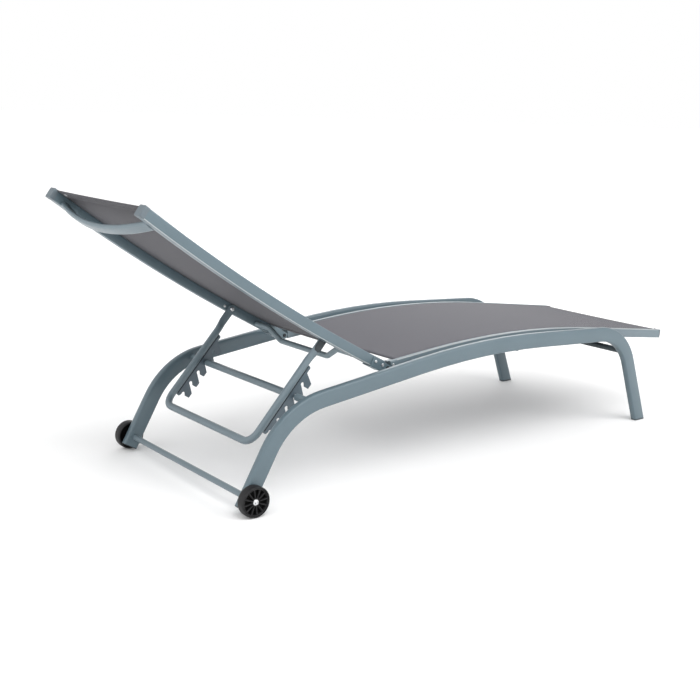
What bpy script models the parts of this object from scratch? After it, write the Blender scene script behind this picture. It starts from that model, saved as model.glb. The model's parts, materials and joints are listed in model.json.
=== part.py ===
"""Reclining sun lounger: two bent side frames, sling seat and backrest, ratchet prop, two wheels.

Metres, +Z up. +X runs towards the foot end, +Y is the lying person's left. The origin is on the
floor, under the middle of the whole lounger. The backrest stands in the second of its notches.
"""
import math

import bmesh
import bpy
from mathutils import Matrix, Vector
from mathutils.geometry import tessellate_polygon

GAP = 0.0003                      # between two pieces that touch

# Side frames: one bent flat-sided tube each, from rear leg to foot leg
AXLE_X = -0.67863                 # wheel axle, and the zero of the distances along X below
WHEEL_RADIUS = 0.0386
AXLE_Z = WHEEL_RADIUS
FRAME_HALF_WIDTH = 0.300          # to the outer faces
TUBE_WIDTH = 0.020
TUBE_DEPTH = 0.043
TUBE_CORNER = 0.0055
TUBE_WALL = 0.0018
FRAME_MID_Y = FRAME_HALF_WIDTH - TUBE_WIDTH / 2
FRAME_INNER_Y = FRAME_HALF_WIDTH - TUBE_WIDTH
REAR_LEG_ANGLE = math.radians(29.0)    # from upright
REAR_LEG_BELOW_AXLE = 0.027
KNEE = (0.1093, 0.2359)
CROWN = (0.7608, 0.3231)
TOE_BEND = (1.3569, 0.2921)
FOOT_X = 1.469                    # where the foot leg's centre line meets the floor
KNEE_RADIUS = 0.2095
CROWN_RADIUS = 2.5
TOE_RADIUS = 0.157
FOOT_CAP_HEIGHT = 0.005

# Sling rails, the same extrusion for seat and backrest
RAIL_SIZE = 0.027
RAIL_OUTER_Y = 0.248
RAIL_Y = RAIL_OUTER_Y - RAIL_SIZE / 2
RAIL_INNER_Y = RAIL_OUTER_Y - RAIL_SIZE
RAIL_CORNER = 0.0028
RAIL_LIP = 0.0115                 # width of the raised outer lip
RAIL_REBATE = 0.0022              # depth of the step that the sling lies in
RAIL_WALL = 0.0018
SPLINE_CHANNEL = 0.0026
SPLINE_RADIUS = 0.0021
CAP_THICKNESS = 0.004
HINGE = (0.452, 0.2890)
HINGE_TO_RAIL = 0.0145
SEAT_CROWN = (0.921, 0.3375)
SEAT_END = (1.602, 0.2547)
SEAT_RADIUS = 2.887
HEAD = (-0.2395, 0.7187)
BACK_RADIUS = 4.9

# Slings
SLING_THICKNESS = 0.0018
SLING_SAG = 0.002
SLING_HALF_WIDTH = RAIL_OUTER_Y - RAIL_LIP - 0.0008
SEAT_SLING_INSET = (0.034, 0.004)      # from the hinge, from the foot end
BACK_SLING_INSET = (0.045, 0.004)      # from the hinge, from the head end

# Crossbars of the backrest, at distances along the rail from the hinge
LOW_BAR_AT = 0.104
LOW_BAR_RADIUS = 0.0078
LOW_BAR_START = 0.006             # below the rail's centre line at the rail
LOW_BAR_DROP = 0.030
LOW_BAR_LEAN = math.radians(42)   # of the drop, from square to the rail towards the hinge
LOW_BAR_FLAT_HALF = 0.108
LOW_BAR_SHOULDER = 0.158
HEAD_BAR_AT = 0.770
HEAD_BAR_WIDTH = 0.030
HEAD_BAR_THICKNESS = 0.012
HEAD_BAR_BOW = 0.034
HEAD_BAR_START = 0.008            # below the rail's centre line at the rail

# Prop and ratchet
PIVOT = (0.271, 0.3840)
ROD = (0.1843, 0.2437)
ROD_RADIUS = 0.0095
ROD_BORE = 0.0062
ARM_ANGLE = math.radians(41.6)    # from upright, at rest
ARM_Y = 0.2128
ARM_RADIUS = 0.0096
ARM_LENGTH = 0.3225
ARM_CORNER = 0.033
ARM_FLAT_HALF = 0.003
ARM_FLAT_WIDTH = 0.0124
ARM_FLAT_SHIFT = 0.0046           # the flattened ends lean out to the rails
ARM_END = 0.0124
ARM_FLAT_TO = 0.040
ARM_ROUND_FROM = 0.072
ROD_CLEARANCE = 0.0007
PLATE_THICKNESS = 0.004
PLATE_EDGE = 0.0205               # back of the notched strip, from the arm's centre line
HOOK_PITCH = 0.036
HOOK_COUNT = 5
HOOK_REACH = 0.0495
PLATE_TAIL = 0.012                # of the plate past the last notch
PIVOT_BOLT_RADIUS = 0.0038

# Tubes between the side frames
AXLE_TUBE_RADIUS = 0.0079
AXLE_TUBE_BORE = 0.0046
FOOT_BAR = (1.372, 0.232)
FOOT_BAR_RADIUS = 0.009
MIDDLE_BAR_X = 0.905
MIDDLE_BAR_RADIUS = 0.009
SPACER_RADIUS = 0.008
SPACERS = {"hinge": 0.535, "middle": 0.86, "foot": 1.20}

# Wheels
WHEEL_INNER_Y = 0.3022
WHEEL_OUTER_Y = 0.3284
AXLE_BOLT_RADIUS = 0.0042
WHEEL_SPOKES = 12

# Hinge fittings
BRACKET_THICKNESS = 0.0025
BRACKET_LENGTH = 0.057
EAR_RADIUS = 0.0115
KNUCKLE_HALF_WIDTH = 0.0109
PIN_RADIUS = 0.003

POWDER = ((0.30, 0.36, 0.39), 0.45, 0.3)
SLING = ((0.25, 0.245, 0.26), 0.85, 0.0)
BLACK = ((0.02, 0.02, 0.022), 0.55, 0.0)
STEEL = ((0.62, 0.63, 0.64), 0.3, 1.0)
DARK = ((0.05, 0.055, 0.06), 0.5, 0.0)
SIDES = (("left", 1), ("right", -1))


# ---------------------------------------------------------------- scene and placing

def clear_scene():
    """Take every object out of the scene."""
    for obj in list(bpy.data.objects):
        bpy.data.objects.remove(obj, do_unlink=True)


def finish_for(name, look):
    """A material of its own for each sub-part."""
    colour, roughness, metallic = look
    material = bpy.data.materials.new(name)
    material.use_nodes = True
    shader = material.node_tree.nodes["Principled BSDF"]
    shader.inputs["Base Color"].default_value = (*colour, 1.0)
    shader.inputs["Roughness"].default_value = roughness
    shader.inputs["Metallic"].default_value = metallic
    return material


def empty(name, place, parent=None):
    """An empty on a joint's axis, for the pieces that turn about it."""
    pivot = bpy.data.objects.new(name, None)
    bpy.context.scene.collection.objects.link(pivot)
    pivot.parent = parent
    base = parent.matrix_world.translation if parent else Vector((0, 0, 0))
    pivot.location = Vector(place) - base
    bpy.context.view_layer.update()
    return pivot


def solid(name, points, faces, look, pivot=None):
    """A closed mesh from world points, with its origin on its pivot."""
    origin = pivot.matrix_world.translation if pivot else Vector((0, 0, 0))
    mesh = bpy.data.meshes.new(name)
    mesh.from_pydata([Vector(point) - origin for point in points], [], faces)
    work = bmesh.new()
    work.from_mesh(mesh)
    bmesh.ops.recalc_face_normals(work, faces=work.faces)
    if work.calc_volume(signed=True) < 0:
        bmesh.ops.reverse_faces(work, faces=work.faces)
    work.to_mesh(mesh)
    work.free()
    mesh.shade_smooth()
    mesh.set_sharp_from_angle(angle=math.radians(35))
    obj = bpy.data.objects.new(name, mesh)
    bpy.context.scene.collection.objects.link(obj)
    mesh.materials.append(finish_for(name, look))
    obj.parent = pivot
    return obj


def cut(obj, cutter):
    """Take the cutter out of the object."""
    cutter.hide_render = True
    cutter.display_type = "WIRE"
    boolean = obj.modifiers.new("cut", "BOOLEAN")
    boolean.operation = "DIFFERENCE"
    boolean.object = cutter


# ---------------------------------------------------------------- outlines and paths

def at(point, y=0.0):
    """A point of the side view, at y."""
    return Vector((AXLE_X + point[0], y, point[1]))


def direction(angle):
    """Unit vector in the side view, angle from +X towards +Z."""
    return Vector((math.cos(angle), 0, math.sin(angle)))


def arc(centre, radius, start, end, count):
    """Points of an arc in a plane, as pairs."""
    steps = [start + (end - start) * i / count for i in range(count + 1)]
    return [(centre[0] + radius * math.cos(a), centre[1] + radius * math.sin(a)) for a in steps]


def rounded(half_width, half_height, radius, count=3):
    """A rectangle with round corners, as pairs, anticlockwise."""
    corners = []
    for i, (sx, sy) in enumerate(((1, 1), (-1, 1), (-1, -1), (1, -1))):
        centre = (sx * (half_width - radius), sy * (half_height - radius))
        corners += arc(centre, radius, math.pi / 2 * i, math.pi / 2 * (i + 1), count)
    return corners


def circle(radius, count=12, centre=(0.0, 0.0)):
    """A full circle as pairs, anticlockwise, without a repeated end."""
    return arc(centre, radius, 0, 2 * math.pi, count)[:-1]


def fillet_path(knots, radii, turn=math.radians(5.0), chord=0.09):
    """Side-view points along straight runs that are joined by arcs at the inner knots."""
    knots = [Vector((x, z)) for x, z in knots]
    path = [knots[0]]
    for i, radius in enumerate(radii, start=1):
        before = (knots[i] - knots[i - 1]).normalized()
        after = (knots[i + 1] - knots[i]).normalized()
        angle = before.angle_signed(after)
        reach = radius * math.tan(abs(angle) / 2)
        side = -1 if angle > 0 else 1
        centre = knots[i] - before * reach + Vector((-before.y, before.x)) * radius * side
        spoke = knots[i] - before * reach - centre
        count = max(3, math.ceil(abs(angle) / min(turn, chord / radius)))
        for step in range(count + 1):
            swing = -angle * step / count
            turned = Matrix.Rotation(swing, 2) @ spoke
            path.append(centre + turned)
    path.append(knots[-1])
    return path


def bowed_path(start, end, radius, count):
    """Side-view points on an arc that hangs below the line from start to end."""
    start, end = Vector(start), Vector(end)
    chord = end - start
    normal = Vector((-chord.y, chord.x)).normalized()
    if normal.y > 0:
        normal = -normal
    half = chord.length / 2
    centre = start + chord / 2 - normal * math.sqrt(radius ** 2 - half ** 2)
    spread = 2 * math.asin(half / radius)
    spoke = start - centre
    way = 1 if spoke.angle_signed(end - centre) < 0 else -1
    return [centre + Matrix.Rotation(way * spread * i / count, 2) @ spoke for i in range(count + 1)]


def lifted(path, y=0.0):
    """Side-view points as points in space, at y."""
    return [at(point, y) for point in path]


def tangents(points):
    """Unit tangent at each point of a path."""
    last = len(points) - 1
    return [(points[min(i + 1, last)] - points[max(i - 1, 0)]).normalized() for i in range(last + 1)]


def along(points, distance):
    """Point and tangent at a distance along a path."""
    for here, there in zip(points, points[1:]):
        length = (there - here).length
        if distance <= length:
            way = (there - here) / length
            return here + way * distance, way
        distance -= length
    raise ValueError("past the end of the path")


def stretch(points, first, last):
    """The part of a path between two distances."""
    kept = [along(points, first)[0]]
    travelled = 0.0
    for here, there in zip(points, points[1:]):
        travelled += (there - here).length
        if first + 0.002 < travelled < last - 0.002:
            kept.append(there)
    kept.append(along(points, last)[0])
    return kept


def path_length(points):
    """Length of a path."""
    return sum((b - a).length for a, b in zip(points, points[1:]))


# ---------------------------------------------------------------- solids from outlines

def station(point, tangent, side, outline, plane=None):
    """One outline across a path. plane is a normal for an end that isn't cut square."""
    up = tangent.cross(side).normalized()
    ring = [point + side * a + up * b for a, b in outline]
    if plane:
        ring = [p - tangent * ((p - point).dot(plane) / tangent.dot(plane)) for p in ring]
    return ring


def cap_faces(outlines, offsets, flip):
    """Triangles that close an end, around any holes."""
    loops = [[Vector((a, b, 0)) for a, b in outline] for outline in outlines]
    index = [offset + i for offset, outline in zip(offsets, outlines) for i in range(len(outline))]
    triangles = [[index[i] for i in triangle] for triangle in tessellate_polygon(loops)]
    return [triangle[::-1] for triangle in triangles] if flip else triangles


def sweep(name, points, side, outline, look, holes=(), planes=(None, None), pivot=None):
    """An outline, with any holes, drawn along a path. side is square to the path's plane."""
    outlines = [outline, *holes]
    ways = tangents(points)
    verts, faces, starts = [], [], []
    for loop in outlines:
        starts.append(len(verts))
        size = len(loop)
        for i, (point, way) in enumerate(zip(points, ways)):
            plane = planes[0] if i == 0 else planes[1] if i == len(points) - 1 else None
            verts += station(point, way, side, loop, plane)
        for i in range(len(points) - 1):
            a, b = starts[-1] + i * size, starts[-1] + (i + 1) * size
            faces += [(a + k, a + (k + 1) % size, b + (k + 1) % size, b + k) for k in range(size)]
    ends = [start + (len(points) - 1) * len(loop) for start, loop in zip(starts, outlines)]
    faces += cap_faces(outlines, starts, True)
    faces += cap_faces(outlines, ends, False)
    return solid(name, verts, faces, look, pivot)


def loft(name, rings, look, pivot=None):
    """A closed skin through rings of equal size, with flat ends."""
    size = len(rings[0])
    verts = [point for ring in rings for point in ring]
    faces = []
    for i in range(len(rings) - 1):
        a, b = i * size, (i + 1) * size
        faces += [(a + k, a + (k + 1) % size, b + (k + 1) % size, b + k) for k in range(size)]
    faces.append(tuple(range(size))[::-1])
    faces.append(tuple(range((len(rings) - 1) * size, len(verts))))
    return solid(name, verts, faces, look, pivot)


def prism(name, outline, origin, u, v, y0, y1, look, holes=(), pivot=None):
    """A side-view outline in the directions u and v from origin, between y0 and y1."""
    outlines = [outline, *holes]
    verts, faces, starts = [], [], []
    for loop in outlines:
        starts.append(len(verts))
        size = len(loop)
        for y in (y0, y1):
            verts += [origin + u * a + v * b + Vector((0, y, 0)) for a, b in loop]
        a = starts[-1]
        faces += [(a + k, a + (k + 1) % size, a + size + (k + 1) % size, a + size + k)
                  for k in range(size)]
    faces += cap_faces(outlines, starts, True)
    faces += cap_faces(outlines, [s + len(loop) for s, loop in zip(starts, outlines)], False)
    return solid(name, verts, faces, look, pivot)


def turned(name, profile, origin, look, count=16, pivot=None, way=1):
    """A profile of (radius, distance along Y) turned about Y through origin; way mirrors it."""
    verts, faces = [], []
    rows = []
    for radius, reach in profile:
        if radius == 0:
            rows.append([len(verts)])
            verts.append(origin + Vector((0, way * reach, 0)))
            continue
        rows.append(list(range(len(verts), len(verts) + count)))
        for k in range(count):
            angle = 2 * math.pi * k / count
            spoke = Vector((radius * math.cos(angle), way * reach, radius * math.sin(angle)))
            verts.append(origin + spoke)
    closed = profile[0][0] > 0
    pairs = list(zip(rows, rows[1:])) + ([(rows[-1], rows[0])] if closed else [])
    for low, high in pairs:
        for k in range(count):
            corners = [low[k % len(low)], low[(k + 1) % len(low)],
                       high[(k + 1) % len(high)], high[k % len(high)]]
            faces.append(tuple(dict.fromkeys(corners)))
    return solid(name, verts, faces, look, pivot)


def tube_between(name, place, radius, half_length, look, bore=None, centre_y=0.0, pivot=None):
    """A straight tube or bar across the lounger, with eased ends."""
    ease = 0.0006
    ends = ((-half_length, 1), (half_length, -1))
    rim = [(radius - ease, ends[0][0]), (radius, ends[0][0] + ease),
           (radius, ends[1][0] - ease), (radius - ease, ends[1][0])]
    if bore:
        profile = [(bore, -half_length), *rim, (bore, half_length)]
    else:
        profile = [(0, -half_length), *rim, (0, half_length)]
    return turned(name, profile, at(place, centre_y), look, 16, pivot)


def rivet(name, place, y, look, side, pivot=None, radius=0.0042, height=0.0022):
    """A domed head that sits on a face at y and points outwards."""
    profile = [(0, 0), (radius, 0), (radius, height * 0.35), (radius * 0.72, height * 0.82),
               (radius * 0.3, height), (0, height)]
    return turned(name, profile, place + Vector((0, side * (y + GAP), 0)), look, 14, pivot, side)


# ---------------------------------------------------------------- centre lines

def side_frame_path():
    """Centre line of a side frame, from the rear leg's end to the foot leg's end."""
    leg = Vector((math.sin(REAR_LEG_ANGLE), math.cos(REAR_LEG_ANGLE)))
    start = Vector((0, AXLE_Z)) - leg * REAR_LEG_BELOW_AXLE
    slope = (TOE_BEND[0] - FOOT_X) / TOE_BEND[1]
    foot = (FOOT_X + slope * FOOT_CAP_HEIGHT, FOOT_CAP_HEIGHT)
    return fillet_path([start, KNEE, CROWN, TOE_BEND, foot], [KNEE_RADIUS, CROWN_RADIUS, TOE_RADIUS])


def seat_path():
    """Centre line of the seat rails, starting at the hinge."""
    return fillet_path([HINGE, SEAT_CROWN, SEAT_END], [SEAT_RADIUS])


def back_path():
    """Centre line of the backrest rails, starting at the hinge."""
    return bowed_path(HINGE, HEAD, BACK_RADIUS, 14)


def rail_outline(outward):
    """Sling rail: raised outer lip, rebate for the sling and a slotted channel for its spline."""
    half = RAIL_SIZE / 2
    floor = half - RAIL_REBATE
    lip = half - RAIL_LIP
    channel = (lip - SPLINE_CHANNEL - 0.0001, floor - 0.0012 - SPLINE_CHANNEL)
    slot = 0.0007
    opening = math.asin(slot / SPLINE_CHANNEL)
    corner = RAIL_CORNER
    outline = arc((half - corner, corner - half), corner, -math.pi / 2, 0, 3)
    outline += arc((half - corner, half - corner), corner, 0, math.pi / 2, 3)
    outline += [(lip + 0.0006, half), (lip, half - 0.0006), (lip, floor)]
    outline += [(channel[0] + slot, floor)]
    outline += arc(channel, SPLINE_CHANNEL, math.pi / 2 - opening, opening - 3 * math.pi / 2, 9)
    outline += [(channel[0] - slot, floor)]
    outline += arc((0.0015 - half, floor - 0.0015), 0.0015, math.pi / 2, math.pi, 2)
    outline += arc((corner - half, corner - half), corner, math.pi, 3 * math.pi / 2, 3)
    return [(outward * a, b) for a, b in outline][::outward], channel


def rail_chamber(outward):
    """The rail's hollow, below the spline channel."""
    inner = RAIL_SIZE / 2 - RAIL_WALL
    top = 0.0002
    centre = (top - inner) / 2
    hollow = rounded(inner, (top + inner) / 2, 0.001, 1)
    return [(outward * a, b + centre) for a, b in hollow][::outward]


# ---------------------------------------------------------------- the root body

def plug(name, point, way, side, outline, base, hollow, depth, look, plane=None, pivot=None):
    """An end plug: a base that covers the tube's end and a tongue that fills its hollow."""
    eased = [(a * 0.94, b * 0.94) for a, b in outline]
    rings = []
    for loop, reach in ((eased, base), (outline, base - 0.001), (outline, GAP),
                        (hollow, GAP), (hollow, -depth)):
        rings.append(station(point + way * reach, way, side, loop, plane))
    return loft(name, rings, look, pivot)


def build_side_frame(label, sign):
    """One bent tube with its axle hole and the plugs in its two ends."""
    y_axis = Vector((0, 1, 0))
    outline = rounded(TUBE_WIDTH / 2, TUBE_DEPTH / 2, TUBE_CORNER, 3)
    hollow = rounded(TUBE_WIDTH / 2 - TUBE_WALL, TUBE_DEPTH / 2 - TUBE_WALL, TUBE_CORNER - TUBE_WALL, 3)
    tongue = [(a * 0.96, b * 0.97) for a, b in hollow]
    points = lifted(side_frame_path(), sign * FRAME_MID_Y)
    floor = Vector((0, 0, 1))
    frame = sweep(f"side_frame_{label}", points, y_axis, outline, POWDER, [hollow], (None, floor))
    hole = turned(f"axle_hole_{label}", [(0, -0.02), (AXLE_TUBE_BORE, -0.02), (AXLE_TUBE_BORE, 0.02),
                                         (0, 0.02)], at((0, AXLE_Z), sign * FRAME_MID_Y), STEEL, 12)
    cut(frame, hole)
    ways = tangents(points)
    plug(f"rear_leg_plug_{label}", points[0], -ways[0], y_axis, outline, 0.002, tongue, 0.012, DARK)
    leg = ways[-1]
    base = FOOT_CAP_HEIGHT / -leg.z
    plug(f"foot_cap_{label}", points[-1], leg, y_axis, outline, base, tongue, 0.012, DARK, floor)


def build_cross_tubes():
    """Axle tube, ratchet rod, foot bar and middle bar, which hold the side frames apart."""
    span = FRAME_INNER_Y - GAP
    tube_between("axle_tube", (0, AXLE_Z), AXLE_TUBE_RADIUS, span, POWDER, AXLE_TUBE_BORE)
    tube_between("foot_cross_tube", FOOT_BAR, FOOT_BAR_RADIUS, span, POWDER)
    rail_z = seat_height(MIDDLE_BAR_X) - RAIL_SIZE / 2
    middle = (MIDDLE_BAR_X, rail_z - MIDDLE_BAR_RADIUS - 2 * GAP)
    tube_between("middle_cross_tube", middle, MIDDLE_BAR_RADIUS, span, POWDER)
    inner_end = ARM_Y - ARM_RADIUS - ROD_CLEARANCE
    outer_end = ARM_Y + ARM_RADIUS + ROD_CLEARANCE
    tube_between("ratchet_rod", ROD, ROD_RADIUS, inner_end, POWDER, ROD_BORE)
    for label, sign in SIDES:
        half = (span - outer_end) / 2
        centre = sign * (span + outer_end) / 2
        tube_between(f"ratchet_rod_stub_{label}", ROD, ROD_RADIUS, half, POWDER, ROD_BORE, centre)


def seat_height(x):
    """Height of the seat rail's centre line at a distance from the axle."""
    path = seat_path()
    for here, there in zip(path, path[1:]):
        if here.x <= x <= there.x:
            return here.y + (there.y - here.y) * (x - here.x) / (there.x - here.x)
    raise ValueError("not over the seat")


def frame_height(x):
    """Height of the side frame's centre line at a distance from the axle."""
    path = side_frame_path()
    for here, there in zip(path, path[1:]):
        if here.x <= x <= there.x:
            return here.y + (there.y - here.y) * (x - here.x) / (there.x - here.x)
    raise ValueError("not along the frame")


def build_seat_side(label, sign):
    """A seat rail with its cap, spline, spacers, hinge knuckle and screw."""
    y_axis = Vector((0, 1, 0))
    path = lifted(seat_path(), sign * RAIL_Y)
    rail = stretch(path, HINGE_TO_RAIL, path_length(path))
    outline, channel = rail_outline(sign)
    chamber = rail_chamber(sign)
    sweep(f"seat_rail_{label}", rail, y_axis, outline, POWDER, [chamber])
    way = tangents(rail)[-1]
    cover = rounded(RAIL_SIZE / 2, RAIL_SIZE / 2, RAIL_CORNER, 1)
    tongue = [(a * 0.95, b * 0.95 - 0.0003) for a, b in rail_chamber(1)]
    plug(f"seat_rail_cap_{label}", rail[-1], way, y_axis, cover, CAP_THICKNESS, tongue, 0.012, POWDER)
    centre = [sign * channel[0] + a for a, b in circle(SPLINE_RADIUS, 8)]
    spline = list(zip(centre, [channel[1] + b for a, b in circle(SPLINE_RADIUS, 8)]))
    sweep(f"seat_spline_{label}", stretch(rail, 0.02, path_length(rail) - 0.02), y_axis, spline, DARK)
    for place, x in SPACERS.items():
        low, high = sorted((seat_height(x), frame_height(x)))
        half = (FRAME_INNER_Y - RAIL_OUTER_Y) / 2 - GAP
        middle = sign * (FRAME_INNER_Y + RAIL_OUTER_Y) / 2
        tube_between(f"seat_spacer_{place}_{label}", (x, (low + high) / 2), SPACER_RADIUS, half,
                     POWDER, 0.0035, middle)
    build_knuckle(label, sign, path)
    screw, _ = along(path, 0.021)
    screw = screw + Vector((0, -sign * RAIL_Y, 0.003))
    rivet(f"seat_hinge_screw_{label}", screw, RAIL_OUTER_Y, STEEL, sign)


def build_knuckle(label, sign, path):
    """The hinge's middle knuckle, with a tongue in the seat rail's hollow."""
    hinge, way = along(path, 0.0)
    up = Vector((-way.z, 0, way.x))
    radius = 0.0118
    low, high = 0.0008 - RAIL_SIZE / 2 + RAIL_WALL, -0.0005
    reach = HINGE_TO_RAIL + 0.020
    start, end = math.asin(high / radius), 2 * math.pi + math.asin(low / radius)
    outline = arc((0, 0), radius, start, end, 18)
    outline += [(reach, low), (reach, high)]
    bore = circle(PIN_RADIUS + GAP, 12)[::-1]
    prism(f"seat_hinge_knuckle_{label}", outline, hinge, way, up, -KNUCKLE_HALF_WIDTH,
          KNUCKLE_HALF_WIDTH, DARK, [bore])


def build_sling(name, path, inset, pivot=None):
    """A woven sling as a thin sheet that lies in the rails' rebates and sags between them."""
    length = path_length(path)
    points = stretch(path, inset[0], length - inset[1])
    floor = RAIL_SIZE / 2 - RAIL_REBATE + GAP
    half = RAIL_INNER_Y
    steps = 8
    sagged = [(half * (2 * i / steps - 1), floor - SLING_SAG * (1 - (2 * i / steps - 1) ** 2))
              for i in range(steps + 1)]
    under = [(-SLING_HALF_WIDTH, floor), *sagged, (SLING_HALF_WIDTH, floor)]
    over = [(a, b + SLING_THICKNESS) for a, b in under]
    sweep(name, points, Vector((0, 1, 0)), under + over[::-1], SLING, pivot=pivot)


def build_wheel(label, sign):
    """A moulded wheel with pockets between its spokes, on a bolt in the axle tube."""
    pivot = empty(f"wheel_axis_{label}", at((0, AXLE_Z)))
    width = WHEEL_OUTER_Y - WHEEL_INNER_Y
    bore = AXLE_BOLT_RADIUS + GAP
    # radius, distance inwards from the outer face, whether the ring dips between spokes
    face = [(bore, 0.0035, 0), (0.0085, 0.0035, 0), (0.0095, 0.0045, 0), (0.0110, 0.0045, 0),
            (0.0115, 0.0048, 1), (0.0275, 0.0045, 1), (0.0280, 0.0040, 0), (0.0300, 0.0040, 0),
            (0.0310, 0.0008, 0), (0.0325, 0.0, 0), (0.0340, 0.0006, 0), (0.0350, 0.0, 0),
            (0.0370, 0.0007, 0), (WHEEL_RADIUS, 0.0028, 0)]
    back = [(WHEEL_RADIUS, width - 0.0028, 0), (0.0370, width - 0.0005, 0), (0.0320, width, 0),
            (0.0305, width - 0.0060, 0), (0.0120, width - 0.0060, 0), (0.0110, width, 0), (bore, width, 0)]
    pocket = 0.0070
    per_spoke = 4
    count = WHEEL_SPOKES * per_spoke
    verts, faces = [], []
    for radius, inwards, dips in face + back:
        for k in range(count):
            # two of the four samples of each spoke pitch lie in the pocket
            in_pocket = k % per_spoke in (0, 1)
            edge = 0.22 * (1 if k % per_spoke in (0, 2) else -1)
            angle = 2 * math.pi * (k + edge * dips) / count
            depth = inwards + (pocket if dips and in_pocket else 0.0)
            place = (radius * math.cos(angle), sign * (WHEEL_OUTER_Y - depth), radius * math.sin(angle))
            verts.append(at((0, AXLE_Z)) + Vector(place))
    rows = len(face) + len(back)
    for i in range(rows):
        a, b = i * count, (i + 1) % rows * count
        faces += [(a + k, a + (k + 1) % count, b + (k + 1) % count, b + k) for k in range(count)]
    solid(f"wheel_{label}", verts, faces, BLACK, pivot)
    head = WHEEL_OUTER_Y - 0.0035 + GAP
    inner_end = FRAME_INNER_Y - 0.030
    profile = [(0, inner_end), (AXLE_BOLT_RADIUS, inner_end), (AXLE_BOLT_RADIUS, head),
               (0.0062, head), (0.0062, head + 0.0010), (0.0050, head + 0.0026), (0.0018, head + 0.0032),
               (0, head + 0.0030)]
    turned(f"axle_bolt_{label}", profile, at((0, AXLE_Z)), STEEL, 16, way=sign)


# ---------------------------------------------------------------- the backrest

def build_back_side(label, sign, pivot):
    """A backrest rail with its cap, spline, hinge bracket, rivets and hinge pin."""
    y_axis = Vector((0, 1, 0))
    # the rail runs away from the hinge towards -X, so its section is turned over
    path = lifted(back_path(), sign * RAIL_Y)[::-1]
    rail = stretch(path, 0.0, path_length(path) - HINGE_TO_RAIL)
    outline, channel = rail_outline(sign)
    sweep(f"back_rail_{label}", rail, y_axis, outline, POWDER, [rail_chamber(sign)], pivot=pivot)
    way = tangents(rail)[0]
    cover = rounded(RAIL_SIZE / 2, RAIL_SIZE / 2, RAIL_CORNER, 1)
    tongue = [(a * 0.95, 0.0003 - b * 0.95) for a, b in rail_chamber(1)][::-1]
    plug(f"back_rail_cap_{label}", rail[0], -way, y_axis, cover, CAP_THICKNESS, tongue, 0.012,
         POWDER, pivot=pivot)
    ring = [(sign * channel[0] + a, channel[1] + b) for a, b in circle(SPLINE_RADIUS, 8)]
    sweep(f"back_spline_{label}", stretch(rail, 0.02, path_length(rail) - 0.02), y_axis, ring, DARK,
          pivot=pivot)
    build_bracket(label, sign, pivot)
    hinge, way, up = back_frame(0.0)
    for i, reach in enumerate((0.020, 0.046), start=1):
        place = hinge + way * reach + up * 0.001
        rivet(f"back_bracket_rivet_{label}_{i}", place, RAIL_OUTER_Y + GAP + BRACKET_THICKNESS,
              STEEL, sign, pivot, 0.0042, 0.0020)
    outer = RAIL_OUTER_Y + 2 * GAP + BRACKET_THICKNESS
    inner = RAIL_INNER_Y - 2 * GAP - BRACKET_THICKNESS
    head = 0.0050
    profile = [(0, inner - 0.002), (head, inner - 0.002), (head, inner), (PIN_RADIUS, inner),
               (PIN_RADIUS, outer), (head, outer), (head, outer + 0.0012), (head * 0.6, outer + 0.0024),
               (0, outer + 0.0026)]
    turned(f"hinge_pin_{label}", profile, at(HINGE), DARK, 14, pivot, sign)


def back_frame(distance):
    """Point, direction away from the hinge and upward normal, along the backrest's centre line."""
    point, way = along(lifted(back_path()), distance)
    return point, way, Vector((way.z, 0, -way.x))


def build_bracket(label, sign, pivot):
    """A folded bracket around the rail's end, with two ears on the hinge pin."""
    hinge, way, up = back_frame(0.03)
    hinge = at(HINGE)
    skin = RAIL_SIZE / 2 + GAP
    low = -skin - BRACKET_THICKNESS
    high = RAIL_SIZE / 2 - 0.004
    ear = arc((0, 0), EAR_RADIUS, math.radians(130), math.radians(250), 8)
    outline = [*ear, (0.012, low), (BRACKET_LENGTH, low), (BRACKET_LENGTH, high), (0.010, high)]
    bore = circle(PIN_RADIUS + GAP, 12)[::-1]
    centre = Vector((0, sign * RAIL_Y, 0))
    bracket = prism(f"back_hinge_bracket_{label}", outline, hinge + centre, way, up,
                    -skin - BRACKET_THICKNESS, skin + BRACKET_THICKNESS, STEEL, [bore], pivot)
    room = [(-0.03, -0.03), (0.0165, -0.03), (0.0165, -skin), (0.08, -skin), (0.08, 0.03), (-0.03, 0.03)]
    cutter = prism(f"bracket_room_{label}", room, hinge + centre, way, up, -skin, skin, STEEL)
    cut(bracket, cutter)


def build_low_bar(pivot):
    """The cranked lower crossbar, dropped in the middle to clear the sling."""
    centre, way, up = back_frame(LOW_BAR_AT)
    centre = centre - up * LOW_BAR_START
    sink = -up * math.cos(LOW_BAR_LEAN) - way * math.sin(LOW_BAR_LEAN)
    side = sink.cross(Vector((0, 1, 0)))
    end = RAIL_INNER_Y - GAP
    half = [(end, 0.0), (LOW_BAR_SHOULDER, 0.0), (LOW_BAR_FLAT_HALF, LOW_BAR_DROP)]
    knots = [(-y, drop) for y, drop in half] + half[::-1]
    flat = fillet_path(knots, [0.022] * 4, math.radians(10), 1.0)
    points = [centre + Vector((0, y, 0)) + sink * drop for y, drop in flat]
    sweep("lower_back_crossbar", points, side, circle(LOW_BAR_RADIUS, 14), POWDER, pivot=pivot)


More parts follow.
